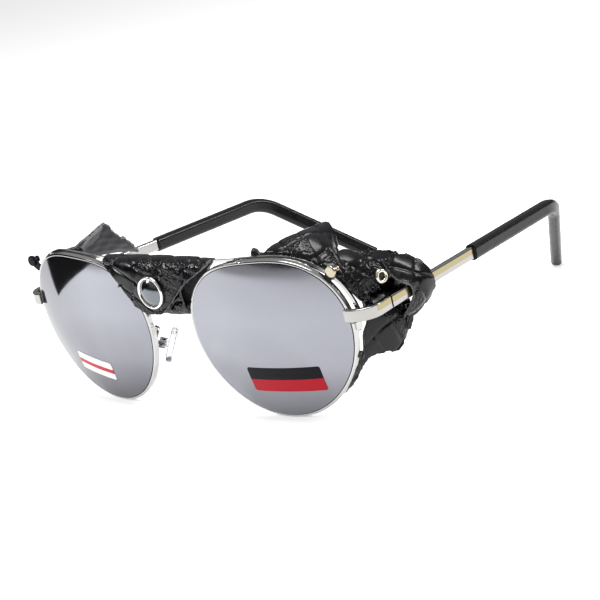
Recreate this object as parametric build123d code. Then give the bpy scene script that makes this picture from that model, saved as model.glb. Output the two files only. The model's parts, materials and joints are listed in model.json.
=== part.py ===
"""Glacier glasses: mirrored round lenses in a wire frame, with leather side shields,
a leather nose cover that opens on a snap, and spring-hinged temples.

Millimetres. +X is the wearer's left, +Y points back along the temples, +Z is up.
Everything is drawn in the face frame, whose XZ plane passes through the lens centres,
and is moved at the end so that the origin is under the middle of the glasses, on the
surface that they stand on. The left half is drawn, and the right half is its mirror image.
"""

import math
import os

from build123d import *

# ---------------------------------------------------------------- driving dimensions

# Lens shape: a polar outline about the lens centre, from the temporal side up.
LENS_CENTRE_X = 38.3        # half the distance between the lens centres
LENS_CENTRE_Z = 26.6
LENS_WRAP = 7.0             # degrees: the outer side is swept back
LENS_TILT = 5.5             # degrees: the top leans forward
OUTLINE_MEAN = 27.54
# Waves round the outline: (number, cosine part, sine part). The second makes it wider than it
# is tall, and the third gives a flat top and full upper corners.
OUTLINE_WAVES = ((1, 0.31, 0.05), (2, 1.82, 0.34), (3, 0.0, 0.98), (4, -0.15, -0.04))
BASE_RADIUS = 88.0          # radius of the lens sphere (a six-base curve)
REFERENCE_RADIUS = 27.5     # outline radius that lies in the lens plane
OUTLINE_POINTS = 24

RIM_WIDTH = 1.0             # across the wire, in the lens plane
RIM_DEPTH = 1.8             # front to back
RIM_ROUND = 0.35
LENS_THICKNESS = 1.7
BEVEL_THICKNESS = 0.7       # rib on the lens edge that sits in the rim groove
BEVEL_DEPTH = 0.4
LENS_PLAY = 0.04
LABEL_THICKNESS = 0.12

# Rim lock, behind the end piece
LOCK_Z = 30.5               # the rim is split at this height
LOCK_SLIT = 0.25
LOCK_X = (66.1, 68.2)
LOCK_Y = (3.6, 6.3)
LOCK_HEIGHT = 2.3
LOCK_SCREW_X = 67.1
LOCK_SCREW_Y = 5.2

# Brow bar and bridge
BROW_WIDTH = 0.8
BROW_DEPTH = 0.8
BROW_BRIDGE_Z = 49.9
BROW_BRIDGE_Y = -4.2
BROW_SETBACK = 1.45         # middle of the bar behind the lens surface, just clear of the rim
BROW_INSET = 0.15           # middle of the bar inside the rim's outer edge, above the lens
BROW_FLARE = 1.2            # the bar spreads this far from the rim towards the temple
BROW_END_ANGLE = 11.5       # degrees round the lens: its end, on the rim lock
BROW_LEAVE_ANGLE = 105      # degrees: where it leaves the lens for the bridge
BRIDGE_RADIUS = 0.8
BRIDGE_Y = -3.2
BRIDGE_Z = 36.5

# Hinge and temple
HINGE_X = 70.4
HINGE_Y = 13.9
HINGE_Z = 33.1
BEND_X = 64.8               # where the temple turns down behind the ear
BEND_Y = 108.0
BEND_Z = 31.2
TIP_X = 40.9
TIP_Y = 135.6
TIP_Z = 2.1
BEND_RADIUS = 14.0
BAR_WIDTH = 2.1
BAR_HEIGHT = 3.8
BAR_OFFSET = 2.5            # bar centre line outward of the hinge axis
BAR_START = 0.2             # the bar begins this far behind the hinge axis
SLEEVE_START = 44.2         # where the black tip covers the bar
SLEEVE_WIDTH = 3.8
SLEEVE_HEIGHT = 4.9
CORE_WIDTH = 1.4
CORE_HEIGHT = 2.2
CORE_CLEARANCE = 0.03
SEAM_Y = -0.4               # end of the end piece, in hinge coordinates
END_PIECE_THICKNESS = 1.9
END_PIECE_HEIGHT = 3.7

KNUCKLE_RADIUS = 1.25
KNUCKLE_HALF_HEIGHT = 1.75
TONGUE_HALF_HEIGHT = 0.6
KNUCKLE_GAP = 0.06
SCREW_RADIUS = 0.5
RUNNING_CLEARANCE = 0.05

# Spring box on the inner side of the temple bar
BOX_INNER_X = -1.15
BOX_OUTER_X = 1.43
BOX_HALF_HEIGHT = 1.5
BOX_START = 1.7
BOX_LENGTH = 13.3
CAVITY_HALF = 0.95
CAVITY_END = 14.2
CARRIAGE_X = 0.15
CARRIAGE_HALF = 0.9
ROD_RADIUS = 0.35
ROD_END = 12.6
COLLAR_START = 7.0
COLLAR_LENGTH = 0.8
NUT_START = 11.8
NUT_LENGTH = 0.8
SPRING_RADIUS = 0.62
SPRING_WIRE = 0.14
SPRING_TURNS = 5

# Nose pads
PAD_PIVOT = (14.3, 3.7, 19.8)
PAD_LEAN = 31.0             # degrees: the top leans towards the nose
PAD_SPLAY = 30.0            # degrees: the face turns back
PAD_WIDTH = 7.4
PAD_HEIGHT = 13.0
PAD_THICKNESS = 2.2
PAD_STANDOFF = 1.4
WALL_INNER = 0.65           # the pad's lug turns between the walls of its box
WALL_OUTER = 1.25
PAD_SCREW_RADIUS = 0.35

# Leather
LEATHER = 1.2
SNAP_Z = 41.7
SNAP_CAP_RADIUS = 5.2
FLAP_FRONT_Y = -8.3
FLAP_BOTTOM_Z = 34.6
FLAP_BACK_Y = -7.05
CREASE_Y = -7.3             # the flap folds up about a crease along its top edge
CREASE_Z = 49.2
PLY_FRONT_Y = -5.4
PLY_BACK_Y = -4.3
BACK_LAYER_FRONT_Y = -2.0
BACK_LAYER_BACK_Y = -0.9
SHIELD_X = 66.3             # inner face of the side panel
FLAP_Y = 2.1                # front face of the standing flap
ROOF_RISE = 8.5             # degrees: the roof rises towards the face
TAIL_SLOPE = 33.0           # degrees: the tail leans in behind the rim
RIVET_X = 65.2
RIVET_Z = 46.6
RIVET_RADIUS = 0.8
TAB_THICKNESS = 0.7
EYELET_Y = 16.6
EYELET_Z = 39.6
EYELET_OUTER = 1.5          # barrel through the leather
EYELET_INNER = 1.0

pieces = {}


# ---------------------------------------------------------------- shared geometry

def lens_plane():
    """Plane of the left lens: x to the temple, y up, z out of the front."""
    wrap = math.radians(LENS_WRAP)
    tilt = math.radians(LENS_TILT)
    outward = Vector(math.sin(wrap), -math.cos(wrap), 0) * math.cos(tilt)
    return Plane(
        origin=(LENS_CENTRE_X, 0, LENS_CENTRE_Z),
        x_dir=(math.cos(wrap), math.sin(wrap), 0),
        z_dir=outward - Vector(0, 0, math.sin(tilt)),
    )


def hinge_plane():
    """Plane at the left hinge: x outward, y back along the temple, z up the hinge axis."""
    back = Vector(BEND_X - HINGE_X - BAR_OFFSET, BEND_Y - HINGE_Y, 0).normalized()
    return Plane(origin=(HINGE_X, HINGE_Y, HINGE_Z), x_dir=(back.Y, -back.X, 0), z_dir=(0, 0, 1))


LENS_PLACE = lens_plane().location
HINGE_PLACE = hinge_plane().location


def outline_radius(angle, inset=0.0):
    """Distance from the lens centre to the rim's outer edge, less an inset."""
    radius = OUTLINE_MEAN - inset
    for waves, cosine, sine in OUTLINE_WAVES:
        radius += cosine * math.cos(waves * angle) + sine * math.sin(waves * angle)
    return radius


def sphere_height(radius):
    """Height of the lens sphere over the lens plane at a distance from the centre."""
    return math.sqrt(BASE_RADIUS**2 - radius**2) - math.sqrt(BASE_RADIUS**2 - REFERENCE_RADIUS**2)


def outline_point(angle, inset=0.0, setback=0.0):
    """Point on the lens sphere, in lens coordinates."""
    radius = outline_radius(angle, inset)
    height = sphere_height(radius) - setback
    return Vector(radius * math.cos(angle), radius * math.sin(angle), height)


def face_point(angle, inset=0.0, setback=0.0):
    """The same point in the face frame."""
    return lens_plane().from_local_coords(outline_point(angle, inset, setback))


def outline_prism(inset, flare=0.0):
    """Straight prism on the lens outline; flare moves its two sides outward."""
    step = 2 * math.pi / OUTLINE_POINTS
    flat = []
    for i in range(OUTLINE_POINTS):
        radius = outline_radius(i * step, inset) + flare * math.cos(i * step)**2
        flat.append((radius * math.cos(i * step), radius * math.sin(i * step), -8))
    return extrude(make_face(Spline(*flat, periodic=True)), 18, dir=(0, 0, 1))


def spherical_shell(thickness, lift=0.0):
    """Shell about the lens sphere; lift moves its middle surface outward."""
    centre = Pos(0, 0, -math.sqrt(BASE_RADIUS**2 - REFERENCE_RADIUS**2))
    poles_aside = Rot(90, 0, 0)
    outer = Sphere(BASE_RADIUS + lift + thickness / 2)
    return centre * poles_aside * (outer - Sphere(BASE_RADIUS + lift - thickness / 2))


def bar_between(start, end, radius):
    """Round bar from one point to another."""
    start = Vector(*start)
    along = Vector(*end) - start
    section = Plane(origin=start, z_dir=along) * Circle(radius)
    return extrude(section, along.length, dir=along)


def upright(x, y, bottom, top, radius):
    """Round bar along Z."""
    return Pos(x, y, (bottom + top) / 2) * Cylinder(radius, top - bottom)


def across(x_range, y, z, radius):
    """Round bar along X."""
    return Pos(sum(x_range) / 2, y, z) * Rot(0, 90, 0) * Cylinder(radius, x_range[1] - x_range[0])


def block(x_range, y_range, z_range):
    """Box between limits."""
    size = [high - low for low, high in (x_range, y_range, z_range)]
    centre = [(high + low) / 2 for low, high in (x_range, y_range, z_range)]
    return Pos(*centre) * Box(*size)


def plate(points, plane, thickness):
    """Flat plate: an outline on a plane, thickened along the plane's normal."""
    return extrude(plane * make_face(Polyline(*points, close=True)), thickness)


def add(name, shape):
    pieces[name] = shape


def add_pair(name, left):
    """A left piece and its mirror image, as two nodes."""
    pieces[name + "_left"] = left
    pieces[name + "_right"] = mirror(left, about=Plane.YZ)


def add_twins(name, left):
    """A left piece and its mirror image, as two solids in one node."""
    pieces[name] = Compound(children=[*left.solids(), *mirror(left, about=Plane.YZ).solids()])


# ---------------------------------------------------------------- front

def lens():
    """Lens with a bevel rib round its edge."""
    body = outline_prism(RIM_WIDTH + LENS_PLAY) & spherical_shell(LENS_THICKNESS)
    rib = outline_prism(RIM_WIDTH - BEVEL_DEPTH) & spherical_shell(BEVEL_THICKNESS)
    return body + rib


def rim():
    """Eye-wire on the lens outline, with rounded edges, a groove for the lens, and a split that
    is notched for the lock's screw."""
    ring = (outline_prism(0) - outline_prism(RIM_WIDTH)) & spherical_shell(RIM_DEPTH)
    ring = fillet(ring.edges().filter_by(lambda edge: edge.length > 100), RIM_ROUND)
    groove = outline_prism(RIM_WIDTH - BEVEL_DEPTH - LENS_PLAY)
    groove = groove & spherical_shell(BEVEL_THICKNESS + 2 * LENS_PLAY)
    slit_half = LOCK_SLIT / 2
    slit = block((60, 72), (-2, 8), (LOCK_Z - slit_half, LOCK_Z + slit_half))
    return LENS_PLACE * (ring - groove) - slit - rim_lock_screw()


def lens_room():
    """Room behind, in and before the rim that only the lens may take up."""
    return LENS_PLACE * (outline_prism(RIM_WIDTH / 2) & spherical_shell(RIM_DEPTH + 1))


def rim_lock(rim_left, brow):
    """Two blocks brazed to the rim's ends, above and below the slit."""
    slit_half = LOCK_SLIT / 2
    upper = block(LOCK_X, LOCK_Y, (LOCK_Z + slit_half, LOCK_Z + LOCK_HEIGHT + 0.5))
    lower = block(LOCK_X, LOCK_Y, (LOCK_Z - LOCK_HEIGHT, LOCK_Z - slit_half))
    hole = upright(LOCK_SCREW_X, LOCK_SCREW_Y, LOCK_Z - 3, LOCK_Z + 1.8, SCREW_RADIUS)
    trimmed_blocks = (upper + lower) - rim_left - lens_room() - brow - hole
    halves = trimmed_blocks.solids().sort_by(SortBy.VOLUME)[-2:]
    return Compound(children=halves)


def rim_lock_screw():
    shank = upright(LOCK_SCREW_X, LOCK_SCREW_Y, LOCK_Z - LOCK_HEIGHT, LOCK_Z + 1.8, SCREW_RADIUS)
    head_bottom = LOCK_Z - LOCK_HEIGHT - 0.6
    head = upright(LOCK_SCREW_X, LOCK_SCREW_Y, head_bottom, LOCK_Z - LOCK_HEIGHT, 0.9)
    slot = block((LOCK_SCREW_X - 1, LOCK_SCREW_X + 1), (LOCK_SCREW_Y - 0.13, LOCK_SCREW_Y + 0.13),
                 (head_bottom - 1, head_bottom + 0.3))
    return shank + head - slot


def label(across_at, up_at, width, height, turn):
    """Sticker bent to the lens face: a rounded rectangle cut from a thin shell."""
    place = Pos(across_at, up_at, -8) * Rot(0, 0, turn)
    prism = extrude(place * RectangleRounded(width, height, 0.7), 18)
    lift = (LENS_THICKNESS + LABEL_THICKNESS) / 2
    return LENS_PLACE * (prism & spherical_shell(LABEL_THICKNESS, lift))


def sector(first, last):
    """Wedge of the lens plane between two angles in degrees, for cutting a stretch of ring."""
    reach = 60
    middle = (first + last) / 2
    corners = [(0, 0)]
    for degrees in (first, middle, last):
        corners.append((reach * math.cos(math.radians(degrees)), reach * math.sin(math.radians(degrees))))
    return Pos(0, 0, -12) * extrude(make_face(Polyline(*corners, close=True)), 24)


def brow_arch():
    """Wire just behind the left rim, from the rim lock to the nose side, where it is brazed
    to the rim."""
    arch = outline_prism(BROW_INSET - BROW_WIDTH / 2, BROW_FLARE)
    arch -= outline_prism(BROW_INSET + BROW_WIDTH / 2, BROW_FLARE)
    arch &= spherical_shell(BROW_DEPTH, -BROW_SETBACK)
    arch &= sector(BROW_END_ANGLE, BROW_LEAVE_ANGLE + 1)
    rim_back = RIM_DEPTH / 2
    joint_depth = BROW_SETBACK + BROW_DEPTH / 2 - rim_back
    joint = outline_prism(BROW_INSET - BROW_WIDTH / 2) - outline_prism(BROW_INSET + BROW_WIDTH / 2)
    joint &= spherical_shell(joint_depth, -rim_back - joint_depth / 2)
    return LENS_PLACE * (arch + (joint & sector(BROW_LEAVE_ANGLE - 4, BROW_LEAVE_ANGLE + 1)))


def brow_bridge(width, depth):
    """Stretch of the brow bar that crosses the bridge in one shallow arc."""
    leave_angle = math.radians(BROW_LEAVE_ANGLE)
    leave = face_point(leave_angle, BROW_INSET - BROW_FLARE * math.cos(leave_angle)**2, BROW_SETBACK)
    middle = (0, BROW_BRIDGE_Y, BROW_BRIDGE_Z)
    path = ThreePointArc((-leave.X, leave.Y, leave.Z), middle, leave)
    section = Plane(origin=path @ 0, x_dir=(0, 1, 0), z_dir=path % 0)
    return sweep(section * Rectangle(depth, width), path)


def brow_bar():
    """Flat wire from end piece to end piece: over one lens, across the bridge, over the other."""
    arch = brow_arch()
    return brow_bridge(BROW_WIDTH, BROW_DEPTH) + arch + mirror(arch, about=Plane.YZ)


def bridge_wire(rim_left, rim_right):
    """Arched wire between the rims' nose sides."""
    reach = 10.6
    path = ThreePointArc((-reach, BRIDGE_Y, BRIDGE_Z - 1.2), (0, BRIDGE_Y, BRIDGE_Z),
                         (reach, BRIDGE_Y, BRIDGE_Z - 1.2))
    section = Plane(origin=path @ 0, z_dir=path % 0) * Circle(BRIDGE_RADIUS)
    return sweep(section, path) - rim_left - rim_right


def end_piece(rim_left, brow):
    """Strip from the front of the rim round to the hinge."""
    start = Vector(66.4, 2.2, HINGE_Z)
    corner = Vector(74.0, 2.5, HINGE_Z)
    seam = hinge_plane().from_local_coords(Vector(BAR_OFFSET, SEAM_Y, 0))
    path = FilletPolyline(start, corner, seam, radius=6.2)
    section = Plane(origin=path @ 0, x_dir=(0, 0, 1), z_dir=path % 0)
    strip = sweep(section * RectangleRounded(END_PIECE_HEIGHT, END_PIECE_THICKNESS, 0.35), path)
    return (strip - rim_left - lens_room() - brow).solids().sort_by(SortBy.VOLUME)[-1]


def hinge_leaf():
    """Upper and lower knuckles on a plate that is brazed inside the end piece."""
    inner_face = BAR_OFFSET - END_PIECE_THICKNESS / 2
    slices = ((-KNUCKLE_HALF_HEIGHT, -TONGUE_HALF_HEIGHT - KNUCKLE_GAP),
              (TONGUE_HALF_HEIGHT + KNUCKLE_GAP, KNUCKLE_HALF_HEIGHT))
    leaf = block((0.95, inner_face), (-3.6, -1.4), (-KNUCKLE_HALF_HEIGHT, KNUCKLE_HALF_HEIGHT))
    for bottom, top in slices:
        leaf += upright(0, 0, bottom, top, KNUCKLE_RADIUS)
        leaf += block((-0.6, inner_face), (-3.6, SEAM_Y), (bottom, top))
    return leaf - upright(0, 0, -3, 3, SCREW_RADIUS)


def hinge_screw():
    shank = upright(0, 0, -KNUCKLE_HALF_HEIGHT, KNUCKLE_HALF_HEIGHT, SCREW_RADIUS)
    head = upright(0, 0, KNUCKLE_HALF_HEIGHT, KNUCKLE_HALF_HEIGHT + 0.45, 0.95)
    slot_top = KNUCKLE_HALF_HEIGHT + 1
    slot = block((-1, 1), (-0.13, 0.13), (slot_top - 0.8, slot_top))
    return shank + head - slot


# ---------------------------------------------------------------- temples

def carriage():
    """Tongue that turns on the hinge screw, with the block and rod that slide in the box."""
    half = CARRIAGE_HALF
    x_range = (CARRIAGE_X - half, CARRIAGE_X + half)
    tongue_z = (-TONGUE_HALF_HEIGHT, TONGUE_HALF_HEIGHT)
    body = upright(0, 0, -TONGUE_HALF_HEIGHT, TONGUE_HALF_HEIGHT, KNUCKLE_RADIUS)
    body += block((-0.75, 0.9), (0, BOX_START + 0.6), tongue_z)
    body += block(x_range, (BOX_START + 0.2, 5.5), (-half, half))
    body += bar_between((CARRIAGE_X, 5.4, 0), (CARRIAGE_X, ROD_END, 0), ROD_RADIUS)
    return body - upright(0, 0, -2, 2, SCREW_RADIUS + RUNNING_CLEARANCE)


def spring_nut():
    """Nut riveted on the rod's end, which the spring pushes on."""
    nut = bar_between((CARRIAGE_X, NUT_START, 0), (CARRIAGE_X, NUT_START + NUT_LENGTH, 0), 0.8)
    return nut - bar_between((CARRIAGE_X, 5, 0), (CARRIAGE_X, ROD_END + 1, 0), ROD_RADIUS)


def spring_box():
    """Box brazed to the inner side of the temple bar, open at its front."""
    outer = block((BOX_INNER_X, BOX_OUTER_X), (BOX_START, BOX_START + BOX_LENGTH),
                  (-BOX_HALF_HEIGHT, BOX_HALF_HEIGHT))
    outer = fillet(outer.edges().filter_by(Axis.Y).group_by(Axis.X)[0], 0.5)
    cavity_x = (CARRIAGE_X - CAVITY_HALF, CARRIAGE_X + CAVITY_HALF)
    return outer - block(cavity_x, (0, CAVITY_END), (-CAVITY_HALF, CAVITY_HALF))


def spring_collar():
    """Collar pressed in the box, which the other end of the spring rests on."""
    collar = block((CARRIAGE_X - CAVITY_HALF, CARRIAGE_X + CAVITY_HALF),
                   (COLLAR_START, COLLAR_START + COLLAR_LENGTH), (-CAVITY_HALF, CAVITY_HALF))
    hole_radius = ROD_RADIUS + RUNNING_CLEARANCE
    return collar - bar_between((CARRIAGE_X, 6, 0), (CARRIAGE_X, 9, 0), hole_radius)


def flex_spring():
    """Coil spring round the rod, between collar and nut."""
    start = COLLAR_START + COLLAR_LENGTH + SPRING_WIRE + 0.02
    height = NUT_START - SPRING_WIRE - 0.02 - start
    path = Helix(height / SPRING_TURNS, height, SPRING_RADIUS, center=(CARRIAGE_X, start, 0),
                 direction=(0, 1, 0))
    section = Plane(origin=path @ 0, z_dir=path % 0) * Circle(SPRING_WIRE)
    return sweep(section, path, is_frenet=True)


def temple_path(first):
    """Centre line of the temple from a distance behind the hinge to the tip's end."""
    seam = hinge_plane().from_local_coords(Vector(BAR_OFFSET, BAR_START, 0))
    bend = Vector(BEND_X, BEND_Y, BEND_Z)
    along = (bend - seam).normalized()
    return FilletPolyline(seam + along * first, bend, (TIP_X, TIP_Y, TIP_Z), radius=BEND_RADIUS)


def temple_section(path, width, height, corner):
    """Upright rounded section at the start of a temple path."""
    level = Vector(0, 0, 1).cross(path % 0)
    section = Plane(origin=path @ 0, x_dir=level, z_dir=path % 0)
    return section * RectangleRounded(width, height, corner)


def trimmed(shape, path, margin):
    """Cut a temple sweep short of the tip's end."""
    ending = Plane(origin=(path @ 1) - (path % 1) * margin, z_dir=path % 1)
    return split(shape, bisect_by=ending, keep=Keep.BOTTOM)


def temple_bar():
    """Bright bar, drawn thinner where it runs inside the black tip."""
    whole = temple_path(0)
    front = temple_section(whole, BAR_WIDTH, BAR_HEIGHT, 0.6)
    bar = extrude(front, SLEEVE_START, dir=whole % 0)
    core_path = temple_path(SLEEVE_START - 0.5)
    core = sweep(temple_section(core_path, CORE_WIDTH, CORE_HEIGHT, 0.3), core_path)
    return bar + trimmed(core, core_path, 8)


def temple_tip():
    """Black sleeve over the rear of the temple, with the hole for the core."""
    path = temple_path(SLEEVE_START)
    sleeve = sweep(temple_section(path, SLEEVE_WIDTH, SLEEVE_HEIGHT, 1.5), path)
    hole_width = CORE_WIDTH + 2 * CORE_CLEARANCE
    hole_height = CORE_HEIGHT + 2 * CORE_CLEARANCE
    hole = sweep(temple_section(path, hole_width, hole_height, 0.3), path)
    return sleeve - trimmed(hole, path, 7.9)


# ---------------------------------------------------------------- nose pads

def pad_plane():
    """Plane at the left pad's pivot: x along its screw, y up the pad, z towards the nose."""
    lean = math.radians(PAD_LEAN)
    splay = math.radians(PAD_SPLAY)
    upward = Vector(-math.sin(lean), 0, math.cos(lean))
    toward = Vector(-math.cos(splay), math.sin(splay), 0)
    normal = (toward - upward * toward.dot(upward)).normalized()
    return Plane(origin=PAD_PIVOT, x_dir=upward.cross(normal), z_dir=normal)


PAD_PLACE = pad_plane().location


def nose_pad():
    """Oval pad with a crowned face and a lug that turns on the pad screw."""
    oval = extrude(Ellipse(PAD_WIDTH / 2, PAD_HEIGHT / 2), PAD_THICKNESS)
    oval = fillet(oval.edges().filter_by(GeomType.ELLIPSE), 0.9)
    pad = Pos(0, 0, PAD_STANDOFF) * oval
    lug = Rot(0, 90, 0) * Cylinder(0.8, 1.16)
    lug += block((-0.58, 0.58), (-0.8, 0.8), (0, PAD_STANDOFF + 0.3))
    hole = Rot(0, 90, 0) * Cylinder(PAD_SCREW_RADIUS + RUNNING_CLEARANCE, 4)
    return pad + lug - hole


def pad_box():
    """Small clip that holds the pad's lug between two walls."""
    outer = block((-WALL_OUTER, WALL_OUTER), (-1.25, 1.25), (-1.6, 0.8))
    slot = block((-WALL_INNER, WALL_INNER), (-2, 2), (-0.95, 2))
    return outer - slot - Rot(0, 90, 0) * Cylinder(PAD_SCREW_RADIUS, 4)


def pad_screw():
    shank = Rot(0, 90, 0) * Cylinder(PAD_SCREW_RADIUS, 2 * WALL_OUTER)
    head = Pos(WALL_OUTER + 0.2, 0, 0) * Rot(0, 90, 0) * Cylinder(0.65, 0.4)
    return shank + head


def pad_arm(rim_left, box_left):
    """Wire that curls back from the rim and down to the pad box."""
    box_back = pad_plane().from_local_coords(Vector(0, 0, -1.6))
    behind_box = pad_plane().from_local_coords(Vector(0, 0, -3.6))
    rim_back = Vector(10.5, -2.6, 23.6)
    path = FilletPolyline(rim_back, (11.4, 0.6, 26.2), (15.6, 3.0, 25.6), behind_box, box_back,
                          radius=(1.7, 1.4, 0.9))
    section = Plane(origin=path @ 0, z_dir=path % 0) * Circle(0.5)
    wire = sweep(section, path) - rim_left - lens_room() - box_left
    return wire.solids().sort_by(SortBy.VOLUME)[-1]


# ---------------------------------------------------------------- nose cover and snap

def nose_outline():
    """Prism on the nose cover's front outline: wide at the brow, narrow at its lower edge."""
    outline = [(-23.0, 53), (27.0, 53), (22.0, 48.5), (16.1, 45.6), (7.5, 38.9), (2.2, FLAP_BOTTOM_Z),
               (-5.2, FLAP_BOTTOM_Z), (-8.4, 36), (-11.4, 38.5), (-15.9, 44.9), (-20.5, 48.5)]
    return extrude(Plane.XZ * make_face(Polyline(*outline, close=True)), 20, both=True)


def nose_cover_front():
    """Leather flap that hangs in front of the bridge from the crease at its top edge."""
    profile = [(CREASE_Y, CREASE_Z - 0.3), (FLAP_FRONT_Y, 45.5), (FLAP_FRONT_Y, FLAP_BOTTOM_Z),
               (FLAP_BACK_Y, FLAP_BOTTOM_Z), (FLAP_BACK_Y, 46.3), (CREASE_Y + 1.2, CREASE_Z - 0.5)]
    strip = extrude(Plane.YZ * make_face(Polyline(*profile, close=True)), 30, both=True)
    return (strip & nose_outline()) - disc(FLAP_FRONT_Y - 1, FLAP_BACK_Y + 1, 1.0)


def nose_cover_back():
    """Leather over the brow bar and down behind the bridge, turned up again in front of the
    bridge wire to carry the snap stud."""
    width = 8.4
    turn_z = 35.2
    middle_y = (PLY_FRONT_Y + BACK_LAYER_BACK_Y) / 2
    outer_radius = (BACK_LAYER_BACK_Y - PLY_FRONT_Y) / 2
    inner_radius = outer_radius - (PLY_BACK_Y - PLY_FRONT_Y)
    turn = across((-width, width), middle_y, turn_z, outer_radius)
    turn -= across((-width, width), middle_y, turn_z, inner_radius)
    turn -= block((-width, width), (-10, 5), (turn_z, 40))
    ply = block((-width, width), (PLY_FRONT_Y, PLY_BACK_Y), (turn_z, 46.5))
    ply -= disc(PLY_FRONT_Y - 1, PLY_BACK_Y + 1, 0.8)
    outline = [(-width, turn_z), (width, turn_z), (11.5, 38), (19, 47.2), (-19, 47.2), (-11.5, 38)]
    back = plate(outline, Plane.XZ.offset(-BACK_LAYER_FRONT_Y), BACK_LAYER_FRONT_Y - BACK_LAYER_BACK_Y)
    wrap = [(BACK_LAYER_BACK_Y, 47.0), (BACK_LAYER_BACK_Y, 51.0), (-2.4, 52.1), (-5.5, 52.1),
            (CREASE_Y, CREASE_Z + 0.1), (CREASE_Y + 1.1, CREASE_Z - 0.1), (-5.3, 50.2), (-5.3, 50.9),
            (BACK_LAYER_FRONT_Y, 50.9), (BACK_LAYER_FRONT_Y, 47.0)]
    top = extrude(Plane.YZ * make_face(Polyline(*wrap, close=True)), 30, both=True) & nose_outline()
    top -= brow_bridge(BROW_WIDTH + 0.1, BROW_DEPTH + 0.1)
    return turn + ply + back + top


def disc(y_front, y_back, radius):
    """Round disc at the snap's place, between two depths."""
    middle = (y_front + y_back) / 2
    return Pos(0, middle, SNAP_Z) * Rot(90, 0, 0) * Cylinder(radius, y_back - y_front)


def snap_cap():
    """Domed cap with a rolled rim and the post that clinches the socket."""
    base = disc(FLAP_FRONT_Y - 1.0, FLAP_FRONT_Y, SNAP_CAP_RADIUS)
    base = fillet(base.edges().group_by(Axis.Y)[0], 0.7)
    dome_radius = 14.0
    dome = Pos(0, FLAP_FRONT_Y - 1.9 + dome_radius, SNAP_Z) * Sphere(dome_radius)
    dome = dome & disc(FLAP_FRONT_Y - 3, FLAP_FRONT_Y - 0.5, SNAP_CAP_RADIUS - 1.1)
    post = disc(FLAP_FRONT_Y - 0.5, FLAP_BACK_Y, 1.0)
    return base + dome + post


def snap_socket():
    """Ring behind the flap that grips the stud."""
    return disc(FLAP_BACK_Y, FLAP_BACK_Y + 1.05, 4.3) - disc(FLAP_BACK_Y + 0.1, -5, 1.75)


def snap_stud():
    """Stud on the front ply of the back layer."""
    plate_front = PLY_FRONT_Y - 0.45
    stud = disc(plate_front, PLY_FRONT_Y, 3.6) + disc(plate_front - 0.95, plate_front, 1.6)
    return stud + disc(PLY_FRONT_Y, PLY_BACK_Y, 0.8)


def snap_post():
    """Flange behind the ply that the stud is clinched to."""
    return disc(PLY_BACK_Y, PLY_BACK_Y + 0.4, 3.0)


# ---------------------------------------------------------------- side shields

def side_shield():
    """Leather shield: a front flap and a roof over the brow bar, a side panel, a tail down
    behind the rim and a loop that passes round the outside of the temple."""
    flap = plate([(38.0, 52.2), (46.0, 52.6), (54.0, 51.2), (61.0, 48.9), (65.6, 43.8), (67.2, 42.2),
                  (67.4, 52.6), (38.0, 53.2)],
                 Plane.XZ.offset(-FLAP_Y - LEATHER), LEATHER)
    rise = math.radians(ROOF_RISE)
    roof_plane = Plane(origin=(0, FLAP_Y, 52.4), x_dir=(1, 0, 0), z_dir=(0, -math.sin(rise), math.cos(rise)))
    roof = plate([(38.0, 0.0), (67.4, 0.0), (67.4, 9.0), (60.0, 16.5), (51.0, 18.7), (44.5, 11.0)],
                 roof_plane, LEATHER)
    panel = plate([(FLAP_Y, 53.0), (FLAP_Y, 43.6), (6.8, 42.2), (8.8, 36.6), (8.6, 28.6), (9.5, 22.0), (6.0, 16.0),
                   (17.0, 15.0), (22.0, 18.0), (26.0, 22.5), (32.0, 26.5), (34.0, 31.0), (33.0, 36.0),
                   (26.0, 42.6), (19.0, 46.6), (11.0, 53.8)],
                  Plane.YZ.offset(SHIELD_X), LEATHER)
    slope = math.radians(TAIL_SLOPE)
    tail_plane = Plane(origin=(SHIELD_X + LEATHER, 0, 16.5), x_dir=(0, 1, 0),
                       z_dir=(math.cos(slope), 0, -math.sin(slope)))
    tail = plate([(6.0, 1.0), (16.0, 1.0), (10.0, -6.0), (7.5, -12.0), (4.2, -12.0), (4.6, -6.0)],
                 tail_plane, -LEATHER)
    loop_y = (27.0, 32.5)
    loop = block((SHIELD_X + LEATHER, 74.4), loop_y, (28.3, 37.9))
    loop -= block((SHIELD_X, 73.2), (20, 40), (29.5, 36.7))
    return (flap + roof + panel + tail + loop) - rivet_hole() - eyelet_hole()


def eyelet_hole():
    return across((60, 75), EYELET_Y, EYELET_Z, EYELET_OUTER)


def eyelet():
    """Rolled metal ring through the side panel."""
    inner = SHIELD_X
    outer = SHIELD_X + LEATHER
    ring = across((inner - 0.35, inner), EYELET_Y, EYELET_Z, 2.2)
    ring += across((inner, outer), EYELET_Y, EYELET_Z, EYELET_OUTER)
    ring += across((outer, outer + 0.4), EYELET_Y, EYELET_Z, 2.2)
    return ring - across((60, 75), EYELET_Y, EYELET_Z, EYELET_INNER)


def rivet_hole():
    return bar_between((RIVET_X, -5, RIVET_Z), (RIVET_X, 9, RIVET_Z), RIVET_RADIUS)


def shield_tab(rim_left, brow):
    """Metal tab brazed to the brow bar, which the shield is riveted to."""
    points = [(61.8, 44.4), (63.4, 43.2), (66.2, 45.2), (66.8, 46.8), (65.6, 48.2), (64.0, 47.8)]
    tab = plate(points, Plane.XZ.offset(-FLAP_Y + 0.1), TAB_THICKNESS)
    neck = block((61.8, 63.6), (FLAP_Y - 0.1 - TAB_THICKNESS, 4.2), (43.4, 45.0))
    trimmed_tab = (tab + neck) - rim_left - brow - rivet_hole()
    return trimmed_tab.solids().sort_by(SortBy.VOLUME)[-1]


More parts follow.
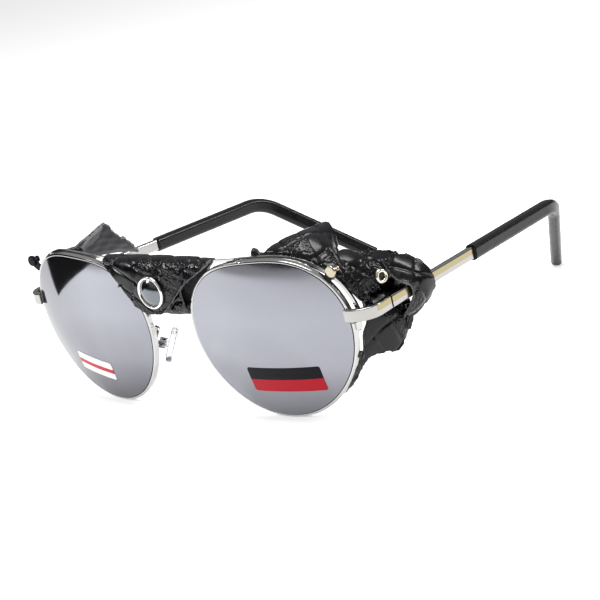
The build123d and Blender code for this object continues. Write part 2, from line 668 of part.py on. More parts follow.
def shield_rivet():
    """Rivet through the tab and the leather, with a domed head in front."""
    head_back = FLAP_Y - 0.1 - TAB_THICKNESS
    leather_back = FLAP_Y + LEATHER
    head = bar_between((RIVET_X, head_back - 0.6, RIVET_Z), (RIVET_X, head_back, RIVET_Z), 1.8)
    head = fillet(head.edges().group_by(Axis.Y)[0], 0.4)
    shank = bar_between((RIVET_X, head_back, RIVET_Z), (RIVET_X, leather_back, RIVET_Z), RIVET_RADIUS)
    flare = bar_between((RIVET_X, leather_back, RIVET_Z), (RIVET_X, leather_back + 0.4, RIVET_Z), 1.05)
    return head + shank + flare


# ---------------------------------------------------------------- assembly

def build_front():
    rim_left = rim()
    brow = brow_bar()
    add_pair("rim", rim_left)
    add_pair("lens", LENS_PLACE * lens())
    add("brow_bar", brow)
    add("bridge_wire", bridge_wire(rim_left, mirror(rim_left, about=Plane.YZ)))
    add_pair("end_piece", end_piece(rim_left, brow))
    add_pair("rim_lock", rim_lock(rim_left, brow))
    add_twins("rim_lock_screws", rim_lock_screw())
    add_pair("hinge_leaf", HINGE_PLACE * hinge_leaf())
    add_twins("hinge_screws", HINGE_PLACE * hinge_screw())
    add("lens_label_left", label(3.0, -12.5, 25.8, 8.2, 0.5))
    add("lens_label_right", mirror(label(3.6, -13.4, 17.5, 6.6, 9), about=Plane.YZ))
    box_left = PAD_PLACE * pad_box()
    add_pair("pad_box", box_left)
    add_pair("pad_arm", pad_arm(rim_left, box_left))
    add_twins("pad_screws", PAD_PLACE * pad_screw())
    add_pair("nose_pad", PAD_PLACE * nose_pad())
    add_pair("shield_tab", shield_tab(rim_left, brow))


def build_temples():
    for name, shape in (("carriage", carriage()), ("spring_nut", spring_nut()),
                        ("spring_box", spring_box()), ("spring_collar", spring_collar()),
                        ("flex_spring", flex_spring())):
        add_pair(name, HINGE_PLACE * shape)
    add_pair("temple_bar", temple_bar())
    add_pair("temple_tip", temple_tip())


def build_leather():
    add("nose_cover_front", nose_cover_front())
    add("nose_cover_back", nose_cover_back())
    add("snap_cap", snap_cap())
    add("snap_socket", snap_socket())
    add("snap_stud", snap_stud())
    add("snap_post", snap_post())
    add_pair("side_shield", side_shield())
    add_twins("eyelets", eyelet())
    add_twins("shield_rivets", shield_rivet())


def main():
    build_front()
    build_temples()
    build_leather()
    whole = Compound(children=[s for shape in pieces.values() for s in shape.solids()]).bounding_box()
    shift = Pos(0, -(whole.min.Y + whole.max.Y) / 2, -whole.min.Z)
    print("moved to the origin by", shift.position)
    for name in ("rim_left", "temple_tip_left"):
        print(name, "lowest at", pieces[name].bounding_box().min.Z)
    crease = Vector(0, CREASE_Y, CREASE_Z)
    for label_text, point in (("hinge", hinge_plane().origin), ("pad pivot", pad_plane().origin),
                              ("nose crease", crease)):
        print(label_text, "at", shift.position + point)
    print("temple runs along", hinge_plane().y_dir, "pad screw along", pad_plane().x_dir)
    os.makedirs("parts", exist_ok=True)
    for name, shape in pieces.items():
        export_step(shift * shape, f"parts/{name}.step")


main()
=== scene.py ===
"""Looks of the glacier glasses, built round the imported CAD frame.

Lengths in the tables are millimetres in the face frame: the origin is between the lens
centres, +X is the wearer's left, +Y runs back along the temples and +Z is up. place()
turns such a point into the frame's metres.
"""

import json
import math

import bmesh
import bpy
import numpy as np
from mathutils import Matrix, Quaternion, Vector


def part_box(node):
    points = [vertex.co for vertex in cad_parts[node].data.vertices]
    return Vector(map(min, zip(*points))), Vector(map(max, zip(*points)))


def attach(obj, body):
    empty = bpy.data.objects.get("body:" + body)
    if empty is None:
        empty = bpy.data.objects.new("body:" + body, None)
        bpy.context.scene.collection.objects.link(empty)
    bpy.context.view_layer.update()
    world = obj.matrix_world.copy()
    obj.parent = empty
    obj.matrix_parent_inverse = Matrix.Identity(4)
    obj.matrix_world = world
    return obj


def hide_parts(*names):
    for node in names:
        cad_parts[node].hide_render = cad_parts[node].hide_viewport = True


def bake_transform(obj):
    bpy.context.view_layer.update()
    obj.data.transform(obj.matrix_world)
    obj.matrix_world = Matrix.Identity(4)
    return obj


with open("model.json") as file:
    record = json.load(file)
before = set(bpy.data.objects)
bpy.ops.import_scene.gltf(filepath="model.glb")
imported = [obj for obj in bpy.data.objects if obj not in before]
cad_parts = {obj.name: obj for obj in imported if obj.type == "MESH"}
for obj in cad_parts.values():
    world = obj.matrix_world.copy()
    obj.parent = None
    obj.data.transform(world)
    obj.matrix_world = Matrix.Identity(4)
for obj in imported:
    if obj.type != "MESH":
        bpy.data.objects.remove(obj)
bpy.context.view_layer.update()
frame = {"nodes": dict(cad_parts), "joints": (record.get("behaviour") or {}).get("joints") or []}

MM = 0.001
JOINTS = {joint["name"]: joint for joint in frame["joints"]}
HINGE_IN_FACE = Vector((70.4, 13.9, 33.1))
FACE_ORIGIN = Vector(JOINTS["left_temple_fold"]["pos_m"]) - HINGE_IN_FACE * MM


def place(x, y, z):
    """Point of the face frame, in the row frame."""
    return FACE_ORIGIN + Vector((x, y, z)) * MM


# ---------------------------------------------------------------- camera, lights, floor

CAMERA_AT = (437.4, -384.0, 196.1)
CAMERA_AZIMUTH = 45.1
CAMERA_ELEVATION = 16.2
CAMERA_ROLL = -12.8
CAMERA_LENS = 119.2         # mm, on a 36 mm sensor

# Brightness of the surroundings from straight down (0) to straight up (1): dark at the horizon.
SKY = [(0.0, 0.5), (0.49, 0.5), (0.50, 0.06), (0.56, 0.10), (0.66, 0.38), (0.85, 0.5), (1.0, 0.55)]
FLOOR_REACH = 6.0           # metres, either way


def make_camera():
    data = bpy.data.cameras.new("camera")
    data.lens = CAMERA_LENS
    data.sensor_width = 36.0
    data.clip_start = 0.01
    camera = bpy.data.objects.new("camera", data)
    bpy.context.collection.objects.link(camera)
    azimuth = math.radians(CAMERA_AZIMUTH)
    elevation = math.radians(CAMERA_ELEVATION)
    forward = Vector((-math.sin(azimuth) * math.cos(elevation),
                      math.cos(azimuth) * math.cos(elevation),
                      -math.sin(elevation)))
    camera.rotation_mode = "QUATERNION"
    roll = Quaternion((0, 0, 1), math.radians(CAMERA_ROLL))
    camera.rotation_quaternion = forward.to_track_quat("-Z", "Y") @ roll
    camera.location = place(*CAMERA_AT)
    bpy.context.scene.camera = camera
    bpy.context.scene.view_settings.view_transform = "Standard"


def make_area_light(name, location, target, size, power):
    data = bpy.data.lights.new(name, "AREA")
    data.shape = "RECTANGLE"
    data.size, data.size_y = size
    data.energy = power
    light = bpy.data.objects.new(name, data)
    bpy.context.collection.objects.link(light)
    light.location = location
    light.rotation_mode = "QUATERNION"
    light.rotation_quaternion = (Vector(target) - Vector(location)).to_track_quat("-Z", "Y")
    light.visible_camera = False


def make_card(name, corner, along, up, grey):
    """Card that only reflections see, from one corner and its two sides, in mm."""
    corner, along, up = (Vector(v) for v in (corner, along, up))
    mesh = bpy.data.meshes.new(name)
    outline = (corner, corner + along, corner + along + up, corner + up)
    mesh.from_pydata([place(*point) for point in outline], [], [(0, 1, 2, 3)])
    card = bpy.data.objects.new(name, mesh)
    bpy.context.collection.objects.link(card)
    material = bpy.data.materials.new(name)
    material.use_nodes = True
    shader = material.node_tree.nodes["Principled BSDF"]
    shader.inputs["Base Color"].default_value = (grey, grey, grey, 1)
    shader.inputs["Roughness"].default_value = 1.0
    shader.inputs["Specular IOR Level"].default_value = 0.0
    mesh.materials.append(material)
    card.visible_camera = False
    card.visible_shadow = False
    card.visible_diffuse = False


def make_world():
    world = bpy.data.worlds.new("studio")
    bpy.context.scene.world = world
    world.use_nodes = True
    nodes, links = world.node_tree.nodes, world.node_tree.links
    nodes.clear()
    coords = nodes.new("ShaderNodeTexCoord")
    split = nodes.new("ShaderNodeSeparateXYZ")
    ramp = nodes.new("ShaderNodeValToRGB")
    background = nodes.new("ShaderNodeBackground")
    output = nodes.new("ShaderNodeOutputWorld")
    elements = ramp.color_ramp.elements
    while len(elements) < len(SKY):
        elements.new(0.5)
    for element, (position, value) in zip(elements, SKY):
        element.position = position
        element.color = (value, value, value * 1.01, 1)
    half = nodes.new("ShaderNodeMath")
    half.operation = "MULTIPLY_ADD"
    half.inputs[1].default_value = 0.5
    half.inputs[2].default_value = 0.5
    links.new(coords.outputs["Generated"], split.inputs[0])
    links.new(split.outputs["Z"], half.inputs[0])
    links.new(half.outputs[0], ramp.inputs[0])
    links.new(ramp.outputs[0], background.inputs["Color"])
    background.inputs["Strength"].default_value = 0.9
    links.new(background.outputs[0], output.inputs[0])


def make_floor():
    mesh = bpy.data.meshes.new("floor")
    corners = [(x * FLOOR_REACH, y * FLOOR_REACH, 0) for x, y in ((-1, -1), (1, -1), (1, 1), (-1, 1))]
    mesh.from_pydata(corners, [], [(0, 1, 2, 3)])
    floor = bpy.data.objects.new("floor", mesh)
    bpy.context.collection.objects.link(floor)
    material = bpy.data.materials.new("floor")
    material.use_nodes = True
    shader = material.node_tree.nodes["Principled BSDF"]
    shader.inputs["Base Color"].default_value = (0.9, 0.9, 0.9, 1)
    shader.inputs["Roughness"].default_value = 0.6
    shader.inputs["Specular IOR Level"].default_value = 0.1
    shader.inputs["Emission Color"].default_value = (1, 1, 1, 1)
    shader.inputs["Emission Strength"].default_value = 0.35
    mesh.materials.append(material)


def make_studio():
    make_camera()
    make_world()
    make_floor()
    make_area_light("overhead", place(0, 60, 900), place(0, 30, 20), (0.5, 0.5), 7.0)
    make_area_light("front_left", place(-520, -420, 480), place(0, 0, 25), (0.07, 0.15), 3.4)
    make_area_light("rear_right", place(420, 420, 380), place(40, 20, 35), (0.08, 0.2), 1.2)
    make_card("dark_card", (-195, -26, 2), (107, -148, 81), (-31, 43, 119), 0.02)


# ---------------------------------------------------------------- materials

BAR_BACK = Vector((-0.085761, 0.996316, 0))     # the left temple runs this way
BAR_UP = Vector((0.0, 0.0195, 1.0))             # across the gold band, which dips towards the back
BAR_OUTER_FACE = 3.55                           # outward of the hinge axis, mm
BAR_FACE_DEPTH = 0.35                           # the band wraps this far round the face's edge
GOLD_BAND = (-0.25, 1.6)                        # lower and upper edge, from the hinge, mm

# Lens frame: swept back at the temple side, and leaning forward at the top.
LENS_WRAP = math.radians(7.0)
LENS_TILT = math.radians(5.5)
LENS_SPAN = 56.0                                # mm, for the painted shade of the mirrors
MIRROR_STOPS = (0.04, 0.34, 0.62, 0.97)         # places of the painted shades across that span

GOLD = (0.34, 0.295, 0.17)
BLACKENED = (0.012, 0.012, 0.013)
STICKER_RED = (0.40, 0.010, 0.020)
STICKER_BLACK = (0.004, 0.004, 0.007)
STICKER_WHITE = (0.80, 0.80, 0.81)
STICKER_STRIPE = (0.50, 0.03, 0.04)
BELOW_STICKER = -9                              # mm, lower than any sticker's edge


def new_material(name, **values):
    """Node material, with values on its shader's own sockets."""
    material = bpy.data.materials.new(name)
    material.use_nodes = True
    shader = material.node_tree.nodes["Principled BSDF"]
    for socket, value in values.items():
        shader.inputs[socket.replace("_", " ")].default_value = value
    return material, shader


def add_noise(material, scale, detail=2.0):
    nodes, links = material.node_tree.nodes, material.node_tree.links
    coords = nodes.new("ShaderNodeTexCoord")
    texture = nodes.new("ShaderNodeTexNoise")
    texture.inputs["Scale"].default_value = scale
    texture.inputs["Detail"].default_value = detail
    links.new(coords.outputs["Object"], texture.inputs["Vector"])
    return texture.outputs["Fac"]


def add_ramp(material, source, *stops):
    """Colour ramp fed by a texture; each stop is (position, colour)."""
    nodes, links = material.node_tree.nodes, material.node_tree.links
    ramp = nodes.new("ShaderNodeValToRGB")
    elements = ramp.color_ramp.elements
    while len(elements) < len(stops):
        elements.new(0.5)
    for element, (position, colour) in zip(elements, stops):
        element.position = position
        element.color = (*colour, 1)
    links.new(source, ramp.inputs[0])
    return ramp.outputs[0]


def add_bump(material, shader, height, strength, distance):
    nodes, links = material.node_tree.nodes, material.node_tree.links
    bump = nodes.new("ShaderNodeBump")
    bump.inputs["Strength"].default_value = strength
    bump.inputs["Distance"].default_value = distance
    links.new(height, bump.inputs["Height"])
    links.new(bump.outputs[0], shader.inputs["Normal"])


def add_math(material, operation, first, second):
    node = material.node_tree.nodes.new("ShaderNodeMath")
    node.operation = operation
    for socket, value in zip(node.inputs, (first, second)):
        if isinstance(value, (int, float)):
            socket.default_value = value
        else:
            material.node_tree.links.new(value, socket)
    return node.outputs[0]


def add_distance(material, point, direction):
    """Distance of the surface from a plane, in millimetres; the plane stays with the piece."""
    nodes, links = material.node_tree.nodes, material.node_tree.links
    coords = nodes.new("ShaderNodeTexCoord")
    dot = nodes.new("ShaderNodeVectorMath")
    dot.operation = "DOT_PRODUCT"
    dot.inputs[1].default_value = Vector(direction).normalized() / MM
    links.new(coords.outputs["Object"], dot.inputs[0])
    offset = Vector(point).dot(Vector(direction).normalized()) / MM
    return add_math(material, "SUBTRACT", dot.outputs["Value"], offset)


def grey(value):
    """Colour of one even value."""
    return (value, value, value)


def metal(name, colour, roughness, variation=0.04, scale=180.0):
    """Polished or satin metal: faint clouds in its colour and shine, and a fine bump."""
    material, shader = new_material(name, Metallic=1.0)
    links = material.node_tree.links
    cloud = add_noise(material, scale, 3.0)
    darker = tuple(c * (1 - variation) for c in colour)
    links.new(add_ramp(material, cloud, (0.3, darker), (0.7, colour)), shader.inputs["Base Color"])
    shine = add_ramp(material, cloud, (0.3, grey(roughness * 0.8)), (0.7, grey(roughness * 1.25)))
    links.new(shine, shader.inputs["Roughness"])
    add_bump(material, shader, add_noise(material, scale * 12), 0.02, 0.0001)
    return material


def plastic(name, colour, roughness, **values):
    """Moulded plastic with a faint orange peel and uneven shine."""
    material, shader = new_material(name, Base_Color=(*colour, 1), **values)
    links = material.node_tree.links
    shine = add_ramp(material, add_noise(material, 300.0), (0.3, grey(roughness * 0.8)),
                     (0.7, grey(roughness * 1.3)))
    links.new(shine, shader.inputs["Roughness"])
    add_bump(material, shader, add_noise(material, 2500.0), 0.06, 0.0001)
    return material


def banded_plastic(name, bands, point, direction):
    """Printed sticker with plain colour bands; bands are (first distance in mm, colour)."""
    material, shader = new_material(name, Roughness=0.3, Specular_IOR_Level=0.1)
    nodes, links = material.node_tree.nodes, material.node_tree.links
    distance = add_distance(material, point, direction)
    colour = None
    for start, band_colour in bands:
        mix = nodes.new("ShaderNodeMix")
        mix.data_type = "RGBA"
        step = add_math(material, "GREATER_THAN", distance, start)
        links.new(step, mix.inputs["Factor"])
        if colour is None:
            mix.inputs["A"].default_value = (*band_colour, 1)
        else:
            links.new(colour, mix.inputs["A"])
        mix.inputs["B"].default_value = (*band_colour, 1)
        colour = mix.outputs["Result"]
    links.new(colour, shader.inputs["Base Color"])
    add_bump(material, shader, add_noise(material, 900.0), 0.05, 0.0001)
    return material


def leather_material():
    """Glossy black leather: pebble grain where the strips were pressed rough, pores elsewhere."""
    material, shader = new_material("embossed_leather")
    nodes, links = material.node_tree.nodes, material.node_tree.links
    coords = nodes.new("ShaderNodeTexCoord")
    pebbles = nodes.new("ShaderNodeTexVoronoi")
    pebbles.feature = "SMOOTH_F1"
    pebbles.inputs["Scale"].default_value = 1150.0
    pebbles.inputs["Randomness"].default_value = 1.0
    links.new(coords.outputs["Object"], pebbles.inputs["Vector"])
    grain = nodes.new("ShaderNodeAttribute")
    grain.attribute_name = "grain"
    rough_grain = add_math(material, "MULTIPLY", pebbles.outputs["Distance"], grain.outputs["Fac"])
    pores = add_math(material, "MULTIPLY", add_noise(material, 2600.0, 3.0), 0.10)
    folds = add_math(material, "MULTIPLY", add_noise(material, 220.0, 1.0), 0.5)
    height = add_math(material, "ADD", add_math(material, "ADD", rough_grain, pores), folds)
    add_bump(material, shader, height, 0.75, 0.00035)
    tone = add_noise(material, 120.0, 3.0)
    base = add_ramp(material, tone, (0.35, (0.0010, 0.0010, 0.0015)), (0.7, (0.0035, 0.0035, 0.005)))
    links.new(base, shader.inputs["Base Color"])
    shine = add_ramp(material, add_noise(material, 500.0), (0.3, grey(0.14)), (0.75, grey(0.30)))
    links.new(shine, shader.inputs["Roughness"])
    shader.inputs["Specular IOR Level"].default_value = 0.3
    return material


def suede_material():
    """Dark grey flesh side of the leather, with a short nap."""
    material, shader = new_material("leather_flesh", Roughness=0.9, Sheen_Weight=0.35,
                                    Specular_IOR_Level=0.2)
    links = material.node_tree.links
    nap = add_noise(material, 900.0, 5.0)
    base = add_ramp(material, nap, (0.3, (0.016, 0.015, 0.018)), (0.7, (0.040, 0.038, 0.044)))
    links.new(base, shader.inputs["Base Color"])
    add_bump(material, shader, add_noise(material, 3500.0, 4.0), 0.5, 0.0002)
    return material


def raw_edge_material():
    """Cut edge of the leather, with pale fibres."""
    material, shader = new_material("leather_raw_edge", Roughness=0.75)
    links = material.node_tree.links
    fibre = add_noise(material, 2200.0, 4.0)
    base = add_ramp(material, fibre, (0.35, (0.05, 0.05, 0.052)), (0.7, (0.30, 0.29, 0.28)))
    links.new(base, shader.inputs["Base Color"])
    add_bump(material, shader, fibre, 0.5, 0.0002)
    return material


def tint(material, mask, colour):
    """Another base colour where the mask is 1."""
    nodes, links = material.node_tree.nodes, material.node_tree.links
    base = nodes["Principled BSDF"].inputs["Base Color"]
    mix = nodes.new("ShaderNodeMix")
    mix.data_type = "RGBA"
    links.new(mask, mix.inputs["Factor"])
    links.new(base.links[0].from_socket, mix.inputs["A"])
    mix.inputs["B"].default_value = (*colour, 1)
    links.new(mix.outputs["Result"], base)


def temple_bar_material(side):
    """Polished bar with a pale gold band along the upper part of its outer face."""
    material = metal("temple_bar_" + side, (0.40, 0.395, 0.38), 0.14)
    nodes, links = material.node_tree.nodes, material.node_tree.links
    shader = nodes["Principled BSDF"]
    turn = 1 if side == "left" else -1
    outward = (turn * BAR_BACK.y, -BAR_BACK.x, 0)
    hinge = Vector(JOINTS[side + "_temple_fold"]["pos_m"])
    out = add_distance(material, hinge, outward)
    up = add_distance(material, hinge, BAR_UP)
    on_face = add_math(material, "GREATER_THAN", out, BAR_OUTER_FACE - BAR_FACE_DEPTH)
    above = add_math(material, "GREATER_THAN", up, GOLD_BAND[0])
    below = add_math(material, "LESS_THAN", up, GOLD_BAND[1])
    band = add_math(material, "MULTIPLY", on_face, add_math(material, "MULTIPLY", above, below))
    tint(material, band, GOLD)
    return material


def lens_up(side):
    """Direction up the face of a lens."""
    outward = Vector((side * math.sin(LENS_WRAP), -math.cos(LENS_WRAP), 0))
    return Vector((0, 0, 1)) * math.cos(LENS_TILT) + outward * math.sin(LENS_TILT)


def lens_across(side):
    """Direction across a lens, towards +X."""
    return Vector((math.cos(LENS_WRAP), side * math.sin(LENS_WRAP), 0))


def mirror_material(side, up_painted_shades, across_painted_shades):
    """Mirror coating, with painted shade at four heights from the bottom up and four places across from
    -X.
    """
    material = metal("mirror_coating_painted_shade_" + side, (0.315, 0.320, 0.355), 0.07, 0.05, 60.0)
    nodes, links = material.node_tree.nodes, material.node_tree.links
    base = nodes["Principled BSDF"].inputs["Base Color"]
    turn = 1 if side == "left" else -1
    # Painted shade: the coating's colour is multiplied by grey ramps up and across the lens.
    for direction, shades in ((lens_up(turn), up_painted_shades), (lens_across(turn), across_painted_shades)):
        distance = add_distance(material, middle("lens_" + side), direction)
        share = add_math(material, "ADD", add_math(material, "DIVIDE", distance, LENS_SPAN), 0.5)
        stops = [(position, grey(shade)) for position, shade in zip(MIRROR_STOPS, shades)]
        mix = nodes.new("ShaderNodeMix")
        mix.data_type = "RGBA"
        mix.blend_type = "MULTIPLY"
        mix.inputs["Factor"].default_value = 1.0
        links.new(base.links[0].from_socket, mix.inputs["A"])
        links.new(add_ramp(material, share, *stops), mix.inputs["B"])
        links.new(mix.outputs["Result"], base)
    return material


def paint(material, *names):
    """Give CAD nodes a material."""
    for name in names:
        data = frame["nodes"][name].data
        data.materials.clear()
        data.materials.append(material)


def sides(name):
    """Names of the left and right nodes."""
    return name + "_left", name + "_right"


def middle(node):
    """Centre of a node's box."""
    low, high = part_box(node)
    return (low + high) / 2


def label_up(side, turn):
    """Direction across a sticker's bands; turn is its turn in the lens plane, in degrees."""
    turn = math.radians(turn)
    return lens_up(side) * math.cos(turn) - lens_across(side) * side * math.sin(turn)


def paint_cad():
    chrome = metal("polished_rim", (0.50, 0.495, 0.49), 0.10)
    steel = metal("satin_steel", (0.42, 0.42, 0.43), 0.28)
    paint(chrome, "brow_bar", "bridge_wire", *sides("rim"), *sides("rim_lock"),
          *sides("pad_arm"), *sides("pad_box"), "snap_socket", "snap_stud", "snap_post")
    rivets = metal("shield_rivets", (0.45, 0.41, 0.30), 0.2)
    on_right = add_math(rivets, "LESS_THAN", add_distance(rivets, (0, 0, 0), (1, 0, 0)), 0.0)
    tint(rivets, on_right, BLACKENED)
    paint(rivets, "shield_rivets")
    paint(metal("blackened_tab", BLACKENED, 0.35), *sides("shield_tab"))
    paint(steel, *sides("hinge_leaf"), *sides("carriage"), *sides("spring_box"),
          *sides("spring_collar"), *sides("spring_nut"), *sides("flex_spring"), "hinge_screws",
          "pad_screws", "rim_lock_screws")
    for side in ("left", "right"):
        paint(temple_bar_material(side), "temple_bar_" + side, "end_piece_" + side)
    # Painted reflection shade on the mirrors: darker near the bottom, a little at the top of the left
    # lens, and towards each temple side, most on the right lens.
    paint(mirror_material("left", (0.66, 0.90, 1.0, 0.84), (1.0, 0.98, 0.96, 0.94)), "lens_left")
    paint(mirror_material("right", (0.42, 0.76, 1.0, 0.98), (0.42, 0.82, 1.0, 0.96)), "lens_right")
    paint(plastic("black_tip", (0.003, 0.003, 0.0035), 0.25, Specular_IOR_Level=0.3),
          *sides("temple_tip"))
    paint(plastic("clear_pad", (0.90, 0.88, 0.97), 0.12, Transmission_Weight=0.92, IOR=1.4),
          *sides("nose_pad"))
    dark_bands = [(BELOW_STICKER, STICKER_RED), (0.1, STICKER_BLACK)]
    paint(banded_plastic("dark_label", dark_bands, middle("lens_label_left"), label_up(1, 0.5)),
          "lens_label_left")
    pale_bands = [(BELOW_STICKER, STICKER_WHITE), (-0.9, STICKER_STRIPE), (0.7, STICKER_WHITE)]
    paint(banded_plastic("pale_label", pale_bands, middle("lens_label_right"), label_up(-1, 9)),
          "lens_label_right")


# ---------------------------------------------------------------- leather sheets

LEATHER_THICKNESS = 1.1     # mm
STRIP_LEATHER = 0.9         # thickness of the shield's narrow strip, mm
STRIP_WIDTH = 7.6           # of the embossed strips
STRIP_DEPTH = 0.6
SIDE_DROP = 0.8             # shares of that depth lost at a strip's sides and ends
END_DROP = 0.55
STRIP_LEAN = 0.9
PEBBLED_ABOVE = 0.55        # cells whose random number is higher are pebbled
EDGE_REACH = 4.0            # how far in from its edge the leather is cut unevenly, mm
FINENESS = 0.4              # mesh step, mm


def resample(grid, count):
    """Catmull-Rom curves through the first axis of a grid of points, at even steps."""
    last = len(grid) - 1
    padded = np.concatenate([[2 * grid[0] - grid[1]], grid, [2 * grid[-1] - grid[-2]]])
    steps = np.linspace(0, last, count)
    index = np.minimum(steps.astype(int), last - 1)
    t = (steps - index).reshape(-1, 1, 1)
    a, b, c, d = (padded[index + k] for k in range(4))
    bend = (2 * a - 5 * b + 4 * c - d) * t**2 + (3 * b - a - 3 * c + d) * t**3
    return 0.5 * (2 * b + (c - a) * t + bend)


def travelled(points, axis):
    """Distance run along the surface from its first row or column, mm."""
    steps = np.linalg.norm(np.diff(points, axis=axis), axis=2)
    start = np.zeros_like(np.take(steps, [0], axis=axis))
    return np.concatenate([start, np.cumsum(steps, axis=axis)], axis=axis)


def scatter(a, b, seed):
    """Even pseudo-random number from 0 to 1 for each cell."""
    return np.mod(np.sin(a * 12.9898 + b * 78.233 + seed * 37.719) * 43758.5453, 1.0)


def weave(u, v, seed):
    """Height of the crossing diagonal strips, and how pebbled each cell is."""
    a = (u + v) / math.sqrt(2) / STRIP_WIDTH + seed * 0.37
    b = (u - v) / math.sqrt(2) / STRIP_WIDTH + seed * 0.21
    cell_a, cell_b = np.floor(a), np.floor(b)
    over = np.mod(cell_a + cell_b, 2) < 1
    across = np.where(over, a - cell_a, b - cell_b)
    along = np.where(over, b - cell_b, a - cell_a)
    side_drop = np.abs(2 * across - 1) ** 14
    end_dip = np.abs(2 * along - 1) ** 4
    lean = (scatter(cell_a, cell_b, seed + 3) - 0.5) * (across - 0.5)
    height = 1.0 - SIDE_DROP * side_drop - END_DROP * end_dip + STRIP_LEAN * lean
    pebbled = scatter(cell_a, cell_b, seed) > PEBBLED_ABOVE
    inside = np.clip(6 * (0.5 - np.abs(across - 0.5)), 0, 1)
    return STRIP_DEPTH * height, pebbled * inside


def uneven_edges(points, u, v, edges, amount, seed):
    """Move the chosen edges in or out by a step for each strip that ends there."""
    ends = {"first_row": (0, -1, u, v), "last_row": (0, 1, u.max(axis=0) - u, v),
            "first_column": (1, -1, v, u), "last_column": (1, 1, v.max(axis=1)[:, None] - v, u)}
    for number, edge in enumerate(edges):
        axis, direction, distance, along = ends[edge]
        slope = np.gradient(points, axis=axis)
        slope /= np.maximum(np.linalg.norm(slope, axis=2), 1e-6)[..., None]
        strip = np.floor(along / STRIP_WIDTH + 0.3 * seed)
        step = scatter(strip, strip * 0 + number, seed) - 0.5
        jitter = np.sin(along * 1.9 + seed) * 0.15 + np.sin(along * 4.3 + 2 * seed) * 0.08
        fade = np.clip(1 - distance / EDGE_REACH, 0, 1) ** 2
        points = points + slope * (direction * amount * (step + jitter) * fade)[..., None]
    return points


def leather_piece(control, seed, edges=(), amount=0.9, thickness=LEATHER_THICKNESS, outer=1):
    """Vertices, faces, face materials and grain of a leather sheet over a grid of points.

    The smooth side is where the rows cross the columns right-handed, or the other with
    outer = -1. The control points lie on the smooth side, and the flesh side is under it.
    """
    control = np.array(control, float)
    size = [travelled(control, axis).max() for axis in (0, 1)]
    rows, columns = (max(6, int(length / FINENESS)) for length in size)
    points = resample(control, rows)
    points = resample(points.transpose(1, 0, 2), columns).transpose(1, 0, 2)
    u, v = travelled(points, 0), travelled(points, 1)
    points = uneven_edges(points, u, v, edges, amount, seed)
    normal = np.cross(np.gradient(points, axis=0), np.gradient(points, axis=1)) * outer
    normal /= np.maximum(np.linalg.norm(normal, axis=2), 1e-9)[..., None]
    height, pebbled = weave(u, v, seed)
    top = points + normal * (height - STRIP_DEPTH)[..., None]
    wander = 0.12 * np.sin(u * 0.9 + seed) * np.sin(v * 1.1 + 2 * seed)
    bottom = points - normal * (thickness + wander)[..., None]
    vertices = np.concatenate([top.reshape(-1, 3), bottom.reshape(-1, 3)])
    grain = np.concatenate([pebbled.ravel(), np.zeros(rows * columns)])
    ids = np.arange(rows * columns).reshape(rows, columns)
    corners = np.stack([ids[:-1, :-1], ids[1:, :-1], ids[1:, 1:], ids[:-1, 1:]], axis=-1)
    upper = corners.reshape(-1, 4)
    lower = upper[:, ::-1] + rows * columns
    ring = np.concatenate([ids[0, :-1], ids[:-1, -1], ids[-1, :0:-1], ids[:0:-1, 0]])
    after = np.roll(ring, -1)
    rim = np.stack([ring, after, after + rows * columns, ring + rows * columns], axis=-1)
    faces = np.concatenate([upper, lower, rim])
    if outer < 0:
        faces = faces[:, ::-1]
    kinds = np.repeat([0, 1, 2], [len(upper), len(lower), len(rim)])
    return vertices, faces, kinds, grain


def join_leather(name, parts, materials):
    """One mesh object from leather sheets, in the row frame."""
    vertices, faces, kinds, grain, offset = [], [], [], [], 0
    for part_vertices, part_faces, part_kinds, part_grain in parts:
        vertices.append(part_vertices)
        faces.append(part_faces + offset)
        kinds.append(part_kinds)
        grain.append(part_grain)
        offset += len(part_vertices)
    vertices = np.concatenate(vertices) * MM + np.array(FACE_ORIGIN)
    faces = np.concatenate(faces)
    kinds = np.concatenate(kinds)
    mesh = bpy.data.meshes.new(name)
    mesh.from_pydata(vertices.tolist(), [], faces.tolist())
    mesh.polygons.foreach_set("material_index", kinds.astype(np.int32))
    mesh.polygons.foreach_set("use_smooth", kinds < 2)
    attribute = mesh.attributes.new("grain", "FLOAT", "POINT")
    attribute.data.foreach_set("value", np.concatenate(grain).astype(np.float32))
    for material in materials:
        mesh.materials.append(material)
    mesh.update()
    obj = bpy.data.objects.new(name, mesh)
    bpy.context.collection.objects.link(obj)
    return obj


def mirrored(rows):
    """The same grid on the wearer's right."""
    return [[(-x, y, z) for x, y, z in row] for row in rows]


